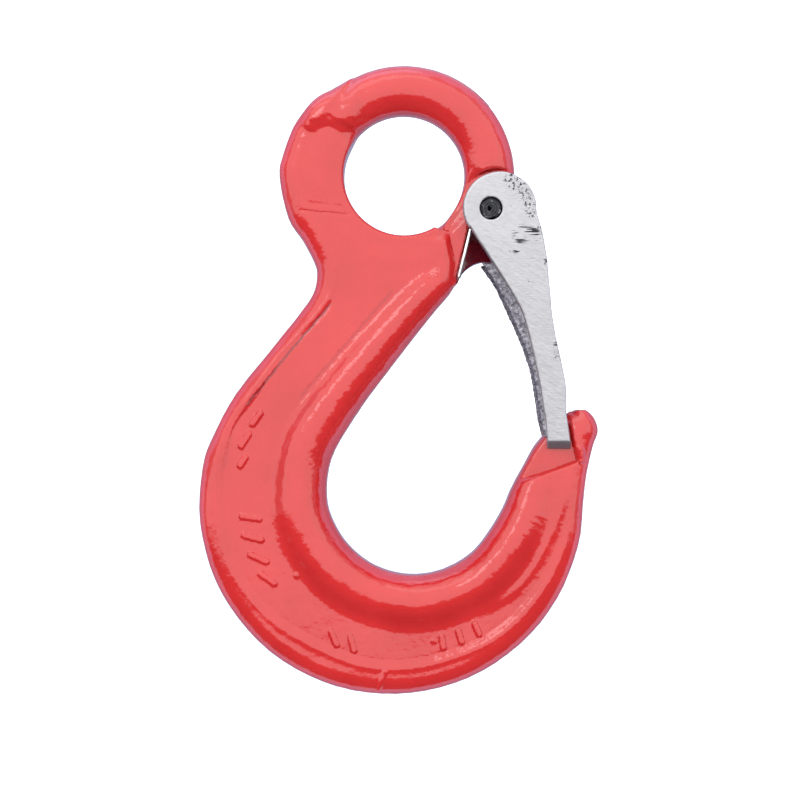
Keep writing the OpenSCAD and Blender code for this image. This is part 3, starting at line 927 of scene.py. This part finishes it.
def stretched_noise(tree, scale, stretch, detail=2):
    """Noise drawn out along the axes: stretch is how many times finer it is along x, y and z."""
    node = noise(tree, scale, detail)
    link = node.inputs["Vector"].links[0]
    source = link.from_socket
    tree.links.remove(link)
    mapping = tree.nodes.new("ShaderNodeMapping")
    mapping.inputs["Scale"].default_value = stretch
    tree.links.new(source, mapping.inputs["Vector"])
    tree.links.new(mapping.outputs["Vector"], node.inputs["Vector"])
    return node


def latch_steel():
    """Satin cast steel: scratched across the cheeks, with dark pits where it is scuffed and a rough lip."""
    material, tree, shader = shader_nodes("latch_steel")
    clouds = noise(tree, 160, 4).outputs["Fac"]
    brushed = stretched_noise(tree, 500, (1, 1, 7), 3).outputs["Fac"]
    satin = ramp(tree, clouds, [(0.3, (0.35, 0.345, 0.36)), (0.7, (0.415, 0.41, 0.425))]).outputs["Color"]
    satin = mix_color(tree, smooth_range(tree, brushed, 0.35, 0.75, 0.0, 0.25), satin, (0.22, 0.22, 0.24))
    pits = smooth_range(tree, noise(tree, 1500, 4, 0.65).outputs["Fac"], 0.53, 0.6)
    pitted = calculate(tree, "MULTIPLY", pits, smooth_range(tree, vertex_value(tree, "pitted"), 0.2, 0.7))
    lines = smooth_range(tree, stretched_noise(tree, 210, (1, 1, 11), 1).outputs["Fac"], 0.56, 0.6)
    scuffed = smooth_range(tree, vertex_value(tree, "scratched"), 0.3, 0.8)
    scratched = calculate(tree, "MULTIPLY", lines, scuffed)
    specks = smooth_range(tree, noise(tree, 2100, 3, 0.6).outputs["Fac"], 0.70, 0.75, 0, 0.7)
    marks = calculate(tree, "MAXIMUM", calculate(tree, "MAXIMUM", pitted, scratched), specks)
    satin = mix_color(tree, marks, satin, (0.045, 0.043, 0.05))
    grit = noise(tree, 1500, 4, 0.7).outputs["Fac"]
    skin = ramp(tree, grit, [(0.35, (0.06, 0.055, 0.07)), (0.55, (0.23, 0.22, 0.25)),
                             (0.7, (0.42, 0.41, 0.45))])
    rough = vertex_value(tree, "rough_skin")
    color = mix_color(tree, rough, satin, skin.outputs["Color"])
    # Painted shade: the end face, which faces down, is painted darker
    color = mix_color(tree, calculate(tree, "MULTIPLY", vertex_value(tree, "shaded_end_face"), 0.75), color,
                      (0.2, 0.21, 0.23))
    tree.links.new(color, shader.inputs["Base Color"])
    shader.inputs["Metallic"].default_value = 0.85
    dull = calculate(tree, "MAXIMUM", calculate(tree, "MULTIPLY", rough, 0.62), marks)
    tree.links.new(smooth_range(tree, calculate(tree, "MAXIMUM", dull, clouds), 0.3, 1, 0.4, 0.75),
                   shader.inputs["Roughness"])
    fine = bump(tree, shader, brushed, 0.15, 0.0002)
    coarse = calculate(tree, "MULTIPLY", calculate(tree, "MAXIMUM", rough, marks), grit)
    bump(tree, shader, coarse, 0.6, 0.0003, fine)
    return material


def black_steel():
    """Blackened spring steel, with bright patches that are partly wear and partly painted glints."""
    material, tree, shader = shader_nodes("black_steel")
    wear_and_glints = noise(tree, 1200, 4, 0.6).outputs["Fac"]
    # Painted glints: the bright patches of this tone are partly real wear and partly stand in for glints
    tone = ramp(tree, wear_and_glints, [(0.35, (0.01, 0.01, 0.012)), (0.6, (0.04, 0.04, 0.045)),
                             (0.72, (0.35, 0.35, 0.37))])
    tree.links.new(tone.outputs["Color"], shader.inputs["Base Color"])
    shader.inputs["Metallic"].default_value = 0.7
    tree.links.new(gray_range(tree, wear_and_glints, 0.3, 0.6), shader.inputs["Roughness"])
    bump(tree, shader, wear_and_glints, 0.2, 0.0001)
    return material


def spring_wire():
    """Bright drawn wire with faint lengthwise scratches."""
    material, tree, shader = shader_nodes("spring_wire")
    drawn = stretched_noise(tree, 900, (3, 3, 1), 3).outputs["Fac"]
    tone = ramp(tree, drawn, [(0.3, (0.62, 0.61, 0.6)), (0.7, (0.82, 0.81, 0.8))])
    tree.links.new(tone.outputs["Color"], shader.inputs["Base Color"])
    shader.inputs["Metallic"].default_value = 1
    tree.links.new(gray_range(tree, drawn, 0.16, 0.34), shader.inputs["Roughness"])
    bump(tree, shader, drawn, 0.12, 0.0001)
    return material


make_camera()
make_floor()
make_world()
make_lights()
make_hook()
make_latch()
make_pin()
make_spring()
bpy.context.scene.view_settings.view_transform = "Standard"
